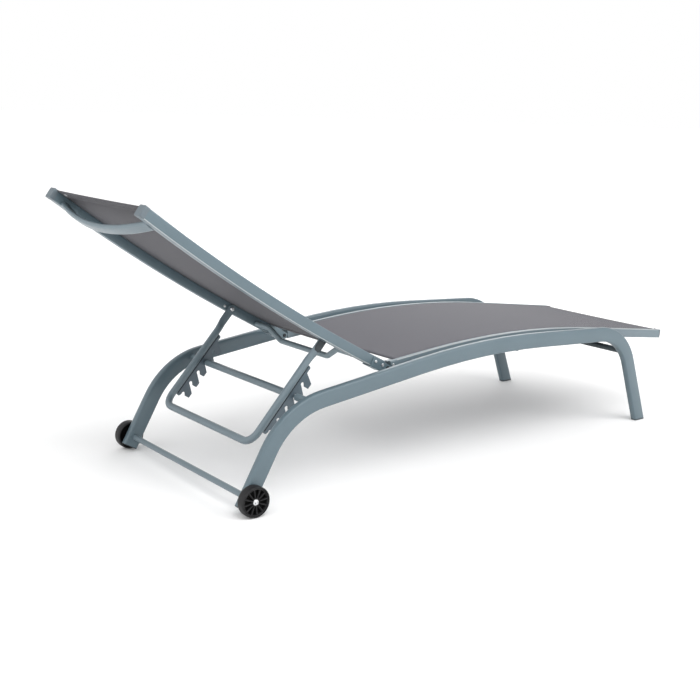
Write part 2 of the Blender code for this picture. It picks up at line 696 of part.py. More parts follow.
def build_head_bar(pivot):
    """The flat-oval head crossbar, bowed away from the sling."""
    centre, way, up = back_frame(HEAD_BAR_AT)
    end = RAIL_INNER_Y - GAP
    count = 16
    points = []
    for i in range(count + 1):
        share = 2 * i / count - 1
        drop = HEAD_BAR_START + HEAD_BAR_BOW * (1 - share ** 2)
        points.append(centre + Vector((0, end * share, 0)) - up * drop)
    outline = rounded(HEAD_BAR_WIDTH / 2, HEAD_BAR_THICKNESS / 2, HEAD_BAR_THICKNESS / 2 - 0.0002, 4)
    wall = Vector((0, 1, 0))
    sweep("head_crossbar", points, way, outline, POWDER, planes=(wall, wall), pivot=pivot)


# ---------------------------------------------------------------- the prop

def arm_frame():
    """Pivot, direction down the arms and direction out to the rod, in the side view."""
    down = Vector((-math.sin(ARM_ANGLE), 0, -math.cos(ARM_ANGLE)))
    out = Vector((math.cos(ARM_ANGLE), 0, -math.sin(ARM_ANGLE)))
    return at(PIVOT), down, out


def blend(low, high, share):
    """Smooth step between two values."""
    share = min(1.0, max(0.0, share))
    return low + (high - low) * share * share * (3 - 2 * share)


def arm_station(s):
    """Half width, half thickness and sideways shift of the arm at a distance below the pivot."""
    share = (s - ARM_FLAT_TO) / (ARM_ROUND_FROM - ARM_FLAT_TO)
    width = blend(ARM_FLAT_WIDTH, ARM_RADIUS, share)
    thickness = blend(ARM_FLAT_HALF, ARM_RADIUS, share)
    if s < 0:
        width *= math.sqrt(max(0.02, 1 - (s / ARM_END) ** 2))
    return width, thickness, blend(ARM_FLAT_SHIFT, 0.0, share)


def build_prop(pivot):
    """The U-shaped prop: one tube with flattened, drilled ends."""
    top, down, out = arm_frame()
    spots = [-0.0123, -0.0110, -0.0085, -0.005, 0.0, 0.02, ARM_FLAT_TO, 0.048, 0.056, 0.064,
             ARM_ROUND_FROM, 0.18]
    corner = [(ARM_Y - ARM_CORNER + ARM_CORNER * math.cos(a), ARM_LENGTH - ARM_CORNER
               + ARM_CORNER * math.sin(a)) for a in (math.pi / 2 * i / 6 for i in range(7))]
    half = [(ARM_Y, s, arm_station(s)) for s in spots]
    half += [(y, s, (ARM_RADIUS, ARM_RADIUS, 0.0)) for y, s in corner]
    flat = half + [(-y, s, shape) for y, s, shape in half[::-1]]
    points = [top + Vector((0, y, 0)) + down * s for y, s, _ in flat]
    ways = tangents(points)
    ways[0], ways[-1] = down, -down
    rings = []
    for point, way, (y, s, (width, thickness, shift)) in zip(points, ways, flat):
        if s < ARM_LENGTH - ARM_CORNER:
            way = down if y > 0 else -down
        across = out.cross(way).normalized()
        moved = point + Vector((0, math.copysign(shift, y), 0))
        rings.append([moved + out * a * width + across * b * thickness for a, b in circle(1.0, 14)])
    prop = loft("prop_frame", rings, POWDER, pivot)
    for label, sign in SIDES:
        y = ARM_Y + ARM_FLAT_SHIFT
        radius = PIVOT_BOLT_RADIUS + GAP
        hole = turned(f"pivot_hole_{label}", [(0, y - 0.01), (radius, y - 0.01), (radius, y + 0.01),
                                              (0, y + 0.01)], top, STEEL, 12, way=sign)
        cut(prop, hole)


def plate_outline(first, depth):
    """Notched plate: a strip along the arm with slanted hooks that end square.

    first is how far down the arm the rod lies in the second notch, depth how far out it lies.
    """
    edge = ARM_RADIUS + GAP
    root = depth - 0.0055
    notches = [first + HOOK_PITCH * (i - 1) for i in range(HOOK_COUNT)]
    top = notches[0] - 0.0465
    outline = [(notches[-1] + PLATE_TAIL, edge), (top, edge), (top, PLATE_EDGE - 0.0035),
               (top + 0.003, PLATE_EDGE), (notches[0] - 0.029, PLATE_EDGE)]
    for centre in notches:
        outline += [(centre - 0.0160, HOOK_REACH), (centre - 0.0145, HOOK_REACH + 0.001),
                    (centre - 0.0020, HOOK_REACH + 0.001), (centre - 0.0005, HOOK_REACH),
                    (centre + 0.0015, 0.0375), (centre - 0.0045, depth + 0.0030)]
        outline += arc((centre, depth), 0.0055, math.radians(150), math.radians(330), 6)[1:-1]
        if centre != notches[-1]:
            outline.append((centre + 0.0068, depth + 0.0020))
    outline += [(notches[-1] + 0.0062, root), (notches[-1] + PLATE_TAIL, root - 0.0030)]
    return outline


def build_plates(pivot):
    """The two notched plates, welded under the arms."""
    top, down, out = arm_frame()
    rod = at(ROD) - top
    outline = plate_outline(rod.dot(down), rod.dot(out))
    for label, sign in SIDES:
        y = sign * ARM_Y
        prism(f"ratchet_plate_{label}", outline, top, down, out, y - PLATE_THICKNESS / 2,
              y + PLATE_THICKNESS / 2, POWDER, pivot=pivot)


def build_pivot_bolt(label, sign, pivot):
    """The bolt that holds an arm's flat end to the rail, head on the inner side."""
    flat = ARM_Y + ARM_FLAT_SHIFT
    face = flat - ARM_FLAT_HALF - GAP
    end = RAIL_INNER_Y - GAP
    profile = [(0, end), (PIVOT_BOLT_RADIUS, end), (PIVOT_BOLT_RADIUS, face), (0.0065, face),
               (0.0065, face - 0.0012), (0.0050, face - 0.0030), (0, face - 0.0034)]
    turned(f"prop_pivot_bolt_{label}", profile, at(PIVOT), STEEL, 14, pivot, sign)


def main():
    """Build the whole lounger."""
    clear_scene()
    hinge = empty("backrest_axis", at(HINGE))
    prop = empty("prop_axis", at(PIVOT), hinge)
    build_cross_tubes()
    for label, sign in SIDES:
        build_side_frame(label, sign)
        build_seat_side(label, sign)
        build_wheel(label, sign)
        build_back_side(label, sign, hinge)
        build_pivot_bolt(label, sign, hinge)
    build_sling("seat_sling", lifted(seat_path()), SEAT_SLING_INSET)
    build_sling("back_sling", lifted(back_path())[::-1], BACK_SLING_INSET[::-1], hinge)
    build_low_bar(hinge)
    build_head_bar(hinge)
    build_prop(prop)
    build_plates(prop)


main()
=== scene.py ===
"""The looks of the reclining sun lounger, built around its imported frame.

Metres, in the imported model's own frame: +X towards the foot end, +Y the lying person's left.
"""
import json
import math

import bmesh
import bpy
from mathutils import Matrix, Vector

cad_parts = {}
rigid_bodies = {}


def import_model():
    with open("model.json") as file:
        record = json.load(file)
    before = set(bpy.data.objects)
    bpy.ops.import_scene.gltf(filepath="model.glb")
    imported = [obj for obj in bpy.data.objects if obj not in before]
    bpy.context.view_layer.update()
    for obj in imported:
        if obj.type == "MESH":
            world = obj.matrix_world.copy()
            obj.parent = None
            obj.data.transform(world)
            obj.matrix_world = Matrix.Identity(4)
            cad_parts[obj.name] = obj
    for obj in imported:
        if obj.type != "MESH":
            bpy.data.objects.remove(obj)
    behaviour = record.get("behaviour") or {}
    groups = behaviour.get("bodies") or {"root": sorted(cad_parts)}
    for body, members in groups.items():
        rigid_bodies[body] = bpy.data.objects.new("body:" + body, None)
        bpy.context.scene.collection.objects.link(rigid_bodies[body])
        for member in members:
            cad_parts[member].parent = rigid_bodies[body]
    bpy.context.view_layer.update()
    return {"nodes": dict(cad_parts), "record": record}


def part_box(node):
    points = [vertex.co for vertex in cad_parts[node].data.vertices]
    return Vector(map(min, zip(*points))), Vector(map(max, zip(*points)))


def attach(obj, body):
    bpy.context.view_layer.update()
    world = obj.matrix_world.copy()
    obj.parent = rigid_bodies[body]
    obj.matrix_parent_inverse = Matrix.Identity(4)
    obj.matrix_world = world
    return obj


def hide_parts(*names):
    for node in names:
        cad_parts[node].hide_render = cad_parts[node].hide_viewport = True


for leftover in list(bpy.data.objects):
    bpy.data.objects.remove(leftover, do_unlink=True)
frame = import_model()
NODES = frame["nodes"]
BODY = {node: body for body, nodes in frame["record"]["behaviour"]["bodies"].items() for node in nodes}
SLOT = {entry["node"]: entry["material_slot"] for entry in frame["record"]["subparts"]}
SIDES = (("left", 1), ("right", -1))
X_WAY = Vector((1, 0, 0))
Y_WAY = Vector((0, 1, 0))
Z_WAY = Vector((0, 0, 1))

# Camera, from the wheel axle
CAMERA_FROM_AXLE = Vector((-1.3372, -2.3512, 0.9195))
CAMERA_HEADING = math.radians(38.38)   # clockwise from +Y, seen from above
CAMERA_DOWN = math.radians(12.76)
CAMERA_ROLL = math.radians(1.63)
CAMERA_LENS = 56.37
CAMERA_SENSOR = 36

# Studio
FLOOR_LEVEL = -0.0003
FLOOR_RINGS = (0.6, 1.2, 2.0, 3.0, 4.5, 7.0, 12.0, 25.0, 60.0)
FLOOR_GLOW = 0.32
GLOW_START = 0.2                  # distance from the middle of the floor
GLOW_FULL = 3.0
CEILING = 0.77                    # brightness overhead, where the walls have 1
CEILING_START = 0.10              # height of the view direction
CEILING_FULL = 0.45
LIGHT_TARGET = Vector((0.1, 0, 0.3))
SOFTBOXES = (                     # heading clockwise from +Y, elevation, distance, size, power
    ("head_side_box", 275, 25, 4.0, 2.5, 24),
    ("foot_side_box", 150, 30, 4.2, 2.5, 59),
    ("high_box", 200, 55, 4.0, 2.5, 58),
    ("corner_box", 235, 42, 4.0, 2.5, 14),
    ("rim_box", 38, 20, 5.0, 3.0, 45),
)

# Slings
CLOTH = 0.0009                    # thickness
WEAVE = 0.0021                    # one thread and its gap
THREAD_ROUNDNESS = 0.6
FIBRE = 0.25                      # how much of a thread's shade is loose fibre
CLOTH_LOWERED = 0.00035           # of its middle below the CAD sheet's
SAG = 0.002
END_SLACK = 0.45                  # share of the sag that a hem takes away
SLACK_LENGTH = 0.06
LINE_SPACING = 0.012
CURVE_STEPS = 24
CLOTH_COLUMNS = 44
EDGE_DROPS = (0.0003, 0.0012, 0.0024)  # of the cloth's edge into the rail's slot
HEM = 0.026
HEM_COLUMNS = 40
HEM_FOLD = 0.00062                # radius of the fold's middle surface
STITCH_PITCH = 0.0052
STITCH_LENGTH = 0.0034
STITCH_WIDTH = 0.00038            # half
STITCH_HEIGHT = 0.00026
STITCH_ROWS = (0.005, 0.021)      # from the end of the cloth
TACK_AT = 0.0135                  # from the end of the cloth
TACK_FROM_RAIL = 0.026
TACK_PITCH = 0.0011
TACK_THREADS = 9
TACK_LENGTH = 0.0075
TACK_WIDTH = 0.0007               # half
TACK_HEIGHT = 0.0004

# Rails
RAIL = 0.027
SLOT_FROM_MIDDLE = -0.0007        # the spline's slot, from the rail's middle towards its outer face
HIGHLIGHT_INSET = 0.0016               # of the painted highlight beads' middle from the rails' faces
HIGHLIGHT_RADIUS = 0.0016
HIGHLIGHT_STATIONS = 90
BEAD_SIDES = 8

# Screws: a pan head with a cross recess, as shares of its radius or height
HEAD_FALL = 0.45                  # from the middle to the rim
HEAD_RIM = 0.93                   # where the rim turns down
CROSS_REACH = 0.62
CROSS_HALF_WIDTH = 0.16
CROSS_DEPTH = 0.5

# Prop and ratchet
SHADE_PATCH_MIDDLE = 0.017                # of the painted shade patches on the arm ends, down the arm from the pivot
SHADE_PATCH_HALF_LENGTH = 0.025
SHADE_PATCH_HALF_WIDTH = 0.0112
SHADE_PATCH_SQUARENESS = 1.18
ARM_FLAT_LENGTH = 0.040           # of the flattened arm end, from the pivot
# The dark lines beside each notched plate are painted shade in the crevice between plate and arm
CREASE_SHADE_RINGS = (0.072, 0.289)       # down the arm, where its straight part starts and ends
CREASE_SHADE_FROM = 0.084
CREASE_SHADE_TO = 0.278
CREASE_SHADE_STATIONS = 40
CREASE_SHADE_RADIUS = 0.0011
CREASE_SHADE_OFFSET = 0.0024              # past the arm's edge, on the plate
PLATE_BEVEL = 0.0004
CORE_RADIUS = 0.0043
CORE_OVERLAP = 0.012              # of the rod's core into the pieces on both sides of it
SPARE_SCREW_FROM_BOLT = Vector((-0.0200, 0, 0.0100))
WASHER = ((0.0042, 0.0), (0.0082, 0.0), (0.0086, 0.0003), (0.0086, 0.0007), (0.0082, 0.0010),
          (0.0042, 0.0010))

# Welds
WELD_SIZE = 0.0013
WELD_POINTS = 28
WELD_POINTS_PER_METRE = 2600      # of the two half widths together
WELD_RIPPLE = 0.16
WELD_DEPTH = 0.0006               # of the bead's middle inside the end of its tube
HEAD_BAR_ALONG = Vector((-0.81, 0, 0.586))   # across the flat head bar

# Head caps
CAP_WAY = Vector((0.806, 0, -0.592))   # down the back rails from the head end
CAP_UP = Vector((0.592, 0, 0.806))
SKIRT_HALF = RAIL / 2 + 0.0005
SKIRT_CORNER = 0.0030

# Wheels
WHEEL_LOW, WHEEL_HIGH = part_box("wheel_left")
WHEEL_RADIUS = (WHEEL_HIGH.z - WHEEL_LOW.z) / 2
AXLE = (WHEEL_LOW + WHEEL_HIGH) / 2
AXLE.y = 0
WHEEL_FACE = WHEEL_HIGH.y
WHEEL_BACK = WHEEL_LOW.y
SPOKES = 12
SPOKE_SQUARENESS = 1.25
HUB_HEIGHT = 0.0036
KEY_HOLE = Vector((0.0034, 0, 0.0012))


# ---------------------------------------------------------------- materials

def new_material(name, colour, roughness, metallic=0.0):
    """A Principled material and its node tree."""
    material = bpy.data.materials.new(name)
    material.use_nodes = True
    tree = material.node_tree
    shader = tree.nodes["Principled BSDF"]
    shader.inputs["Base Color"].default_value = (*colour, 1)
    shader.inputs["Roughness"].default_value = roughness
    shader.inputs["Metallic"].default_value = metallic
    return material, tree, shader


def noise(tree, scale, detail=2.0):
    """A noise texture in object space."""
    place = tree.nodes.new("ShaderNodeTexCoord")
    texture = tree.nodes.new("ShaderNodeTexNoise")
    texture.inputs["Scale"].default_value = scale
    texture.inputs["Detail"].default_value = detail
    tree.links.new(place.outputs["Object"], texture.inputs["Vector"])
    return texture.outputs["Fac"]


def remap(tree, value, low, high):
    """A value between 0 and 1 spread from low to high."""
    ranged = tree.nodes.new("ShaderNodeMapRange")
    ranged.inputs["To Min"].default_value = low
    ranged.inputs["To Max"].default_value = high
    tree.links.new(value, ranged.inputs["Value"])
    return ranged.outputs["Result"]


def mix_colours(tree, fac, first, second):
    """Two colours mixed by a value. Sockets 6, 7 and output 2 are a Mix node's colours."""
    mix = tree.nodes.new("ShaderNodeMix")
    mix.data_type = "RGBA"
    mix.inputs[6].default_value = (*first, 1)
    mix.inputs[7].default_value = (*second, 1)
    tree.links.new(fac, mix.inputs[0])
    return mix.outputs[2]


def tinted(tree, fac, colour, darkest, lightest):
    """A colour that varies between two shares of itself."""
    dark = tuple(c * darkest for c in colour)
    light = tuple(c * lightest for c in colour)
    return mix_colours(tree, fac, dark, light)


def bump(tree, shader, height, strength, distance):
    """Bump from a height."""
    node = tree.nodes.new("ShaderNodeBump")
    node.inputs["Strength"].default_value = strength
    node.inputs["Distance"].default_value = distance
    tree.links.new(height, node.inputs["Height"])
    tree.links.new(node.outputs["Normal"], shader.inputs["Normal"])


def calc(tree, operation, first, second=None):
    """One maths node; its inputs are sockets or numbers."""
    node = tree.nodes.new("ShaderNodeMath")
    node.operation = operation
    for socket, value in zip(node.inputs, (first, second)):
        if isinstance(value, (int, float)):
            socket.default_value = value
        elif value is not None:
            tree.links.new(value, socket)
    return node.outputs[0]


def powder_coat(name, colour, roughness):
    """Satin powder coat: faint clouding, fine orange peel and uneven sheen."""
    material, tree, shader = new_material(name, colour, roughness)
    clouds = tinted(tree, noise(tree, 9.0, 3.0), colour, 0.93, 1.06)
    tree.links.new(clouds, shader.inputs["Base Color"])
    uneven = remap(tree, noise(tree, 60.0, 4.0), roughness - 0.05, roughness + 0.07)
    tree.links.new(uneven, shader.inputs["Roughness"])
    bump(tree, shader, noise(tree, 1500.0), strength=0.10, distance=0.0002)
    return material


def plastic(name, colour, roughness, grain=900.0, specular=0.5):
    """Moulded plastic with a fine grain."""
    material, tree, shader = new_material(name, colour, roughness)
    shader.inputs["Specular IOR Level"].default_value = specular
    flecks = tinted(tree, noise(tree, 40.0, 3.0), colour, 0.85, 1.15)
    tree.links.new(flecks, shader.inputs["Base Color"])
    bump(tree, shader, noise(tree, grain, 3.0), strength=0.18, distance=0.0002)
    return material


def zinc(name, colour, roughness):
    """Bright zinc-plated steel with soft turning marks."""
    material, tree, shader = new_material(name, colour, roughness, 1.0)
    marks = remap(tree, noise(tree, 400.0, 3.0), roughness - 0.08, roughness + 0.12)
    tree.links.new(marks, shader.inputs["Roughness"])
    return material


def woven(name, colour, gap_colour):
    """Coated mesh cloth: thick threads over and under each other, laid out in metres along the cloth."""
    material, tree, shader = new_material(name, colour, 0.62)
    layout = tree.nodes.new("ShaderNodeUVMap")
    layout.uv_map = "weave"
    split = tree.nodes.new("ShaderNodeSeparateXYZ")
    tree.links.new(layout.outputs["UV"], split.inputs[0])
    across = calc(tree, "SINE", calc(tree, "MULTIPLY", split.outputs["X"], math.pi / WEAVE))
    along = calc(tree, "SINE", calc(tree, "MULTIPLY", split.outputs["Y"], math.pi / WEAVE))
    over = calc(tree, "GREATER_THAN", calc(tree, "MULTIPLY", across, along), 0.0)
    warp = calc(tree, "MULTIPLY", calc(tree, "ABSOLUTE", across), over)
    weft = calc(tree, "MULTIPLY", calc(tree, "ABSOLUTE", along), calc(tree, "SUBTRACT", 1.0, over))
    thread = calc(tree, "POWER", calc(tree, "ADD", warp, weft), THREAD_ROUNDNESS)
    fibre = calc(tree, "MULTIPLY", noise(tree, 900.0, 3.0), FIBRE)
    fill = calc(tree, "MINIMUM", calc(tree, "ADD", thread, fibre), 1.0)
    slub = remap(tree, noise(tree, 22.0, 4.0), 0.94, 1.06)
    tint = tree.nodes.new("ShaderNodeVectorMath")
    tint.operation = "SCALE"
    tree.links.new(mix_colours(tree, fill, gap_colour, colour), tint.inputs[0])
    tree.links.new(slub, tint.inputs["Scale"])
    tree.links.new(tint.outputs[0], shader.inputs["Base Color"])
    bump(tree, shader, thread, strength=0.35, distance=0.0005)
    shader.inputs["Specular IOR Level"].default_value = 0.2
    shader.inputs["Sheen Weight"].default_value = 0.06
    shader.inputs["Sheen Roughness"].default_value = 0.4
    return material


COAT = powder_coat("slate_powder_coat", (0.101, 0.144, 0.168), 0.32)
# Painted light: the same slate powder coat made lighter for the prop, rails and round bars, which catch
# more light
COAT_PAINTED_LIGHT = powder_coat("slate_coat_painted_light", (0.138, 0.181, 0.206), 0.32)
# Painted shade: the same slate powder coat made much darker for the foot cross tube, in the shade under the
# seat
COAT_PAINTED_SHADE = powder_coat("slate_coat_painted_shade", (0.040, 0.054, 0.062), 0.45)
COAT_FITTING = powder_coat("slate_fitting_coat", (0.085, 0.116, 0.140), 0.40)
# Painted light: the same slate powder coat made lighter still for the low back crossbar
LOW_BAR_PAINTED_LIGHT = powder_coat("slate_low_bar_coat_painted_light", (0.182, 0.236, 0.264), 0.32)
CAP = plastic("slate_cap_plastic", (0.112, 0.140, 0.160), 0.45)
RAIL_PLUG = plastic("rail_plug_plastic", (0.080, 0.082, 0.092), 0.5)
FOOT = plastic("foot_plastic", (0.070, 0.088, 0.098), 0.55)
CLOTH_LOOK = woven("grey_sling_weave", (0.100, 0.099, 0.116), (0.039, 0.038, 0.045))
# Painted shade: the same woven cloth made darker for the slings' undersides, which face away from the light
CLOTH_UNDER_PAINTED_SHADE = woven("grey_sling_weave_painted_shade_under", (0.075, 0.074, 0.085), (0.029, 0.029, 0.033))
# Painted shade: the same woven cloth made darker for the folded hems
HEM_PAINTED_SHADE_LOOK = woven("grey_hem_weave_painted_shade", (0.084, 0.083, 0.092), (0.032, 0.031, 0.035))
THREAD = plastic("sewing_thread", (0.135, 0.135, 0.150), 0.7)
TACK = plastic("tack_thread", (0.50, 0.51, 0.52), 0.7)
BLACK = plastic("wheel_black", (0.015, 0.015, 0.016), 0.38, 500.0, 0.32)
TYRE = plastic("tyre_black", (0.012, 0.012, 0.013), 0.50, 700.0, 0.30)
# Painted shade: near black, darker than the wheel's own plastic, for the recessed web behind the spokes and
# the key holes
POCKET_PAINTED_SHADE = plastic("pocket_painted_shade", (0.004, 0.004, 0.004), 0.7, 900.0, 0.1)
# Painted shade: near-black patches where the flattened arm ends lie in shade under the rails
ARM_END_PAINTED_SHADE = plastic("arm_end_painted_shade", (0.034, 0.043, 0.050), 0.45, 900.0, 0.4)
# Painted highlight: a light copy of the slate coat for the thin beads along the rails' rounded edges
EDGE_PAINTED_HIGHLIGHT = powder_coat("slate_painted_highlight_edge", (0.36, 0.39, 0.40), 0.30)
# Its own colour for the plugs, pins, knuckles and washers; also used as painted shade in the lines beside
# the notched plates
DARK = plastic("dark_fitting", (0.020, 0.024, 0.028), 0.5, 900.0, 0.3)
ZINC = zinc("zinc_steel", (0.66, 0.67, 0.68), 0.27)
HUB = zinc("hub_metal", (0.72, 0.73, 0.74), 0.33)

# By the start of a node's name, and by slot for the other nodes
LOOKS = {"prop_frame": COAT_PAINTED_LIGHT, "head_crossbar": COAT_PAINTED_LIGHT, "lower_back_crossbar": LOW_BAR_PAINTED_LIGHT,
         "seat_rail_cap": RAIL_PLUG, "seat_rail": COAT_PAINTED_LIGHT, "axle_tube": COAT_PAINTED_LIGHT,
         "ratchet_rod": COAT_PAINTED_LIGHT, "foot_cross_tube": COAT_PAINTED_SHADE, "ratchet_plate": COAT_FITTING,
         "rear_leg_plug": DARK, "hinge_pin": DARK, "foot_cap": FOOT, "seat_hinge_knuckle": DARK}
SLOT_LOOKS = {"powder_coat": COAT, "coated_plastic": CAP, "dark_fittings": DARK}
# Nodes that are remade, not only finished
REMADE = ("wheel_", "seat_sling", "back_sling", "axle_bolt", "prop_pivot_bolt", "back_bracket_rivet",
          "seat_hinge_screw")


# ---------------------------------------------------------------- meshes

def piece(name, verts, faces, material, body, sharp=35.0):
    """A mesh piece in the frame, smooth except at its sharp edges, riding on a body."""
    mesh = bpy.data.meshes.new(name)
    mesh.from_pydata([tuple(v) for v in verts], [], faces)
    work = bmesh.new()
    work.from_mesh(mesh)
    bmesh.ops.recalc_face_normals(work, faces=work.faces)
    work.to_mesh(mesh)
    work.free()
    return placed(name, mesh, material, body, sharp)


def placed(name, mesh, material, body, sharp=35.0):
    """An object for a mesh, with its finish and its body."""
    mesh.shade_smooth()
    mesh.set_sharp_from_angle(angle=math.radians(sharp))
    mesh.materials.clear()
    mesh.materials.append(material)
    obj = bpy.data.objects.new(name, mesh)
    bpy.context.scene.collection.objects.link(obj)
    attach(obj, body)
    return obj


def grid_faces(rows, size, closed=True):
    """Quads between consecutive rings of equal size, or between open rows."""
    last = size if closed else size - 1
    return [(i * size + k, i * size + (k + 1) % size, (i + 1) * size + (k + 1) % size, (i + 1) * size + k)
            for i in range(rows - 1) for k in range(last)]


def capped_faces(rows, size):
    """Quads between consecutive rings, and a cap over each end."""
    last = (rows - 1) * size
    return grid_faces(rows, size) + [tuple(range(size))[::-1], tuple(range(last, last + size))]


def looped_faces(rows, size):
    """Quads between consecutive rings, and from the last back to the first."""
    last = (rows - 1) * size
    return grid_faces(rows, size) + [(last + k, last + (k + 1) % size, (k + 1) % size, k)
                                     for k in range(size)]


def squared(value, squareness):
    """A sine or cosine stretched and cut off at 1, which squares the round outline that it draws."""
    return max(-1, min(1, squareness * value))


def lathe(profile, origin, way=1, count=48, axis_ends=False):
    """Verts and faces of a profile of (radius, distance along Y) turned about Y.

    The profile is a closed outline, or runs from the axis back to it with axis_ends.
    """
    verts, faces = [], []
    rings = []
    for radius, reach in profile:
        if radius == 0:
            rings.append([len(verts)])
            verts.append(origin + Vector((0, way * reach, 0)))
            continue
        rings.append(list(range(len(verts), len(verts) + count)))
        for k in range(count):
            angle = 2 * math.pi * k / count
            verts.append(origin + Vector((radius * math.cos(angle), way * reach, radius * math.sin(angle))))
    pairs = list(zip(rings, rings[1:]))
    if not axis_ends:
        pairs.append((rings[-1], rings[0]))
    for low, high in pairs:
        for k in range(count):
            corners = (low[k % len(low)], low[(k + 1) % len(low)], high[(k + 1) % len(high)],
                       high[k % len(high)])
            faces.append(tuple(dict.fromkeys(corners)))
    return verts, faces


def merged(parts):
    """Several (verts, faces) as one."""
    verts, faces = [], []
    for more_verts, more_faces in parts:
        base = len(verts)
        verts += more_verts
        faces += [tuple(base + i for i in face) for face in more_faces]
    return verts, faces


def loop_tube(points, radius):
    """A closed ring of small tube through points, its radius given point by point."""
    total = len(points)
    centre = sum(points, Vector()) / total
    normal = (points[0] - centre).cross(points[total // 4] - centre).normalized()
    verts = []
    for i, point in enumerate(points):
        outward = (point - centre).normalized()
        for k in range(BEAD_SIDES):
            angle = 2 * math.pi * k / BEAD_SIDES
            verts.append(point + (outward * math.cos(angle) + normal * math.sin(angle)) * radius[i])
    return verts, looped_faces(total, BEAD_SIDES)


def bead(stations):
    """A thin round bar through stations of a centre and the two ways across it, as long as the radius."""
    verts = []
    for centre, first, second in stations:
        for k in range(BEAD_SIDES):
            angle = 2 * math.pi * k / BEAD_SIDES
            verts.append(centre + first * math.cos(angle) + second * math.sin(angle))
    return verts, capped_faces(len(stations), BEAD_SIDES)


def weld_bead(centre, u, v, half_u, half_v, size=WELD_SIZE):
    """A rippled bead round an oval joint, in the plane of u and v."""
    count = max(WELD_POINTS, int((half_u + half_v) * WELD_POINTS_PER_METRE))
    points, radius = [], []
    for i in range(count):
        angle = 2 * math.pi * i / count
        points.append(centre + u * (math.cos(angle) * half_u) + v * (math.sin(angle) * half_v))
        radius.append(size * (1.0 + WELD_RIPPLE * (i % 2)))
    return loop_tube(points, radius)


def refined(node, material=None, bevel=0.0):
    """The CAD node's own shape with joined, smooth faces, which stands for it."""
    source = NODES[node]
    mesh = source.data.copy()
    if mesh.has_custom_normals:
        mesh.attributes.remove(mesh.attributes["custom_normal"])
    work = bmesh.new()
    work.from_mesh(mesh)
    bmesh.ops.remove_doubles(work, verts=work.verts, dist=0.00001)
    bmesh.ops.dissolve_degenerate(work, edges=work.edges, dist=0.00001)
    work.to_mesh(mesh)
    work.free()
    look = material or SLOT_LOOKS[SLOT[node]]
    obj = placed(f"{node}_finished", mesh, look, BODY[node], 40.0)
    if bevel:
        edge = obj.modifiers.new("eased edges", "BEVEL")
        edge.width = bevel
        edge.segments = 2
        edge.limit_method = "ANGLE"
        edge.angle_limit = math.radians(50)
        edge.harden_normals = True
    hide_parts(node)


# ---------------------------------------------------------------- the slings

def edge_line(node):
    """The middle of a sling's edge at each of the CAD sheet's stations, by X."""
    top_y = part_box(node)[1].y
    found = {(round(v.co.x, 6), round(v.co.z, 6)) for v in NODES[node].data.vertices
             if v.co.y > top_y - 0.0001}
    ordered = sorted(found)
    return [(Vector((x, 0, z)) + Vector((next_x, 0, next_z))) / 2
            for (x, z), (next_x, next_z) in zip(ordered[::2], ordered[1::2])]


def smooth_line(points, spacing):
    """Points at an even spacing on a smooth curve through the given points."""
    dense = []
    for i in range(len(points) - 1):
        before = points[max(i - 1, 0)]
        here, there = points[i], points[i + 1]
        after = points[min(i + 2, len(points) - 1)]
        near = (there - before) * 0.5
        far = (after - here) * 0.5
        if i == 0:
            near = there - here
        if i == len(points) - 2:
            far = there - here
        for step in range(CURVE_STEPS):
            t = step / CURVE_STEPS
            dense.append(here * (2 * t ** 3 - 3 * t ** 2 + 1) + near * (t ** 3 - 2 * t ** 2 + t)
                         + there * (3 * t ** 2 - 2 * t ** 3) + far * (t ** 3 - t ** 2))
    dense.append(points[-1])
    lengths = [0.0]
    for a, b in zip(dense, dense[1:]):
        lengths.append(lengths[-1] + (b - a).length)
    count = max(2, round(lengths[-1] / spacing))
    result, j = [], 0
    for i in range(count + 1):
        want = lengths[-1] * i / count
        while j < len(lengths) - 2 and lengths[j + 1] < want:
            j += 1
        share = (want - lengths[j]) / max(1e-9, lengths[j + 1] - lengths[j])
        result.append(dense[j].lerp(dense[j + 1], min(1.0, share)))
    return result, lengths[-1]


class Sling:
    """A sling's middle line and the shape across it."""

    def __init__(self, node):
        self.points, self.length = smooth_line(edge_line(node), LINE_SPACING)
        low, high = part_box("seat_rail_left")
        self.rail_inner = low.y
        self.slot_y = (low.y + high.y) / 2 + SLOT_FROM_MIDDLE

    def at(self, distance):
        """Point, upward normal and direction at a distance along the line."""
        count = len(self.points) - 1
        place = min(max(distance / self.length * count, 0.0), count - 1e-6)
        i = int(place)
        way = (self.points[i + 1] - self.points[i]).normalized()
        point = self.points[i].lerp(self.points[i + 1], place - i)
        ahead = self.points[min(i + 2, count)] - self.points[max(i - 1, 0)]
        smooth = ahead.normalized().lerp(way, 0.3).normalized()
        return point, Vector((-smooth.z, 0, smooth.x)), way

    def surface(self, distance, y, lift=0.0):
        """A point on the cloth's middle surface."""
        point, up, _ = self.at(distance)
        share = min(1.0, abs(y) / self.rail_inner)
        near_end = min(distance, self.length - distance)
        slack = 1 - END_SLACK * math.exp(-near_end / SLACK_LENGTH)
        height = lift - CLOTH_LOWERED - SAG * slack * (1 - share ** 2)
        return point + Vector((0, y, 0)) + up * height


def lay_weave(obj, layout):
    """A UV map in metres across and along the cloth."""
    weave = obj.data.uv_layers.new(name="weave")
    for loop in obj.data.loops:
        weave.data[loop.index].uv = layout[loop.vertex_index]


def solidify(obj, thickness, under=None):
    """Gives a sheet its thickness, equally on both sides, and, when given one, a darker material on its
    underside as painted shade.
    """
    shell = obj.modifiers.new("thickness", "SOLIDIFY")
    if under:
        if sum(face.normal.z for face in obj.data.polygons) < 0:
            obj.data.flip_normals()
        obj.data.materials.append(under)
        shell.material_offset = 1
    shell.thickness = thickness
    shell.offset = 0.0
    shell.use_even_offset = False


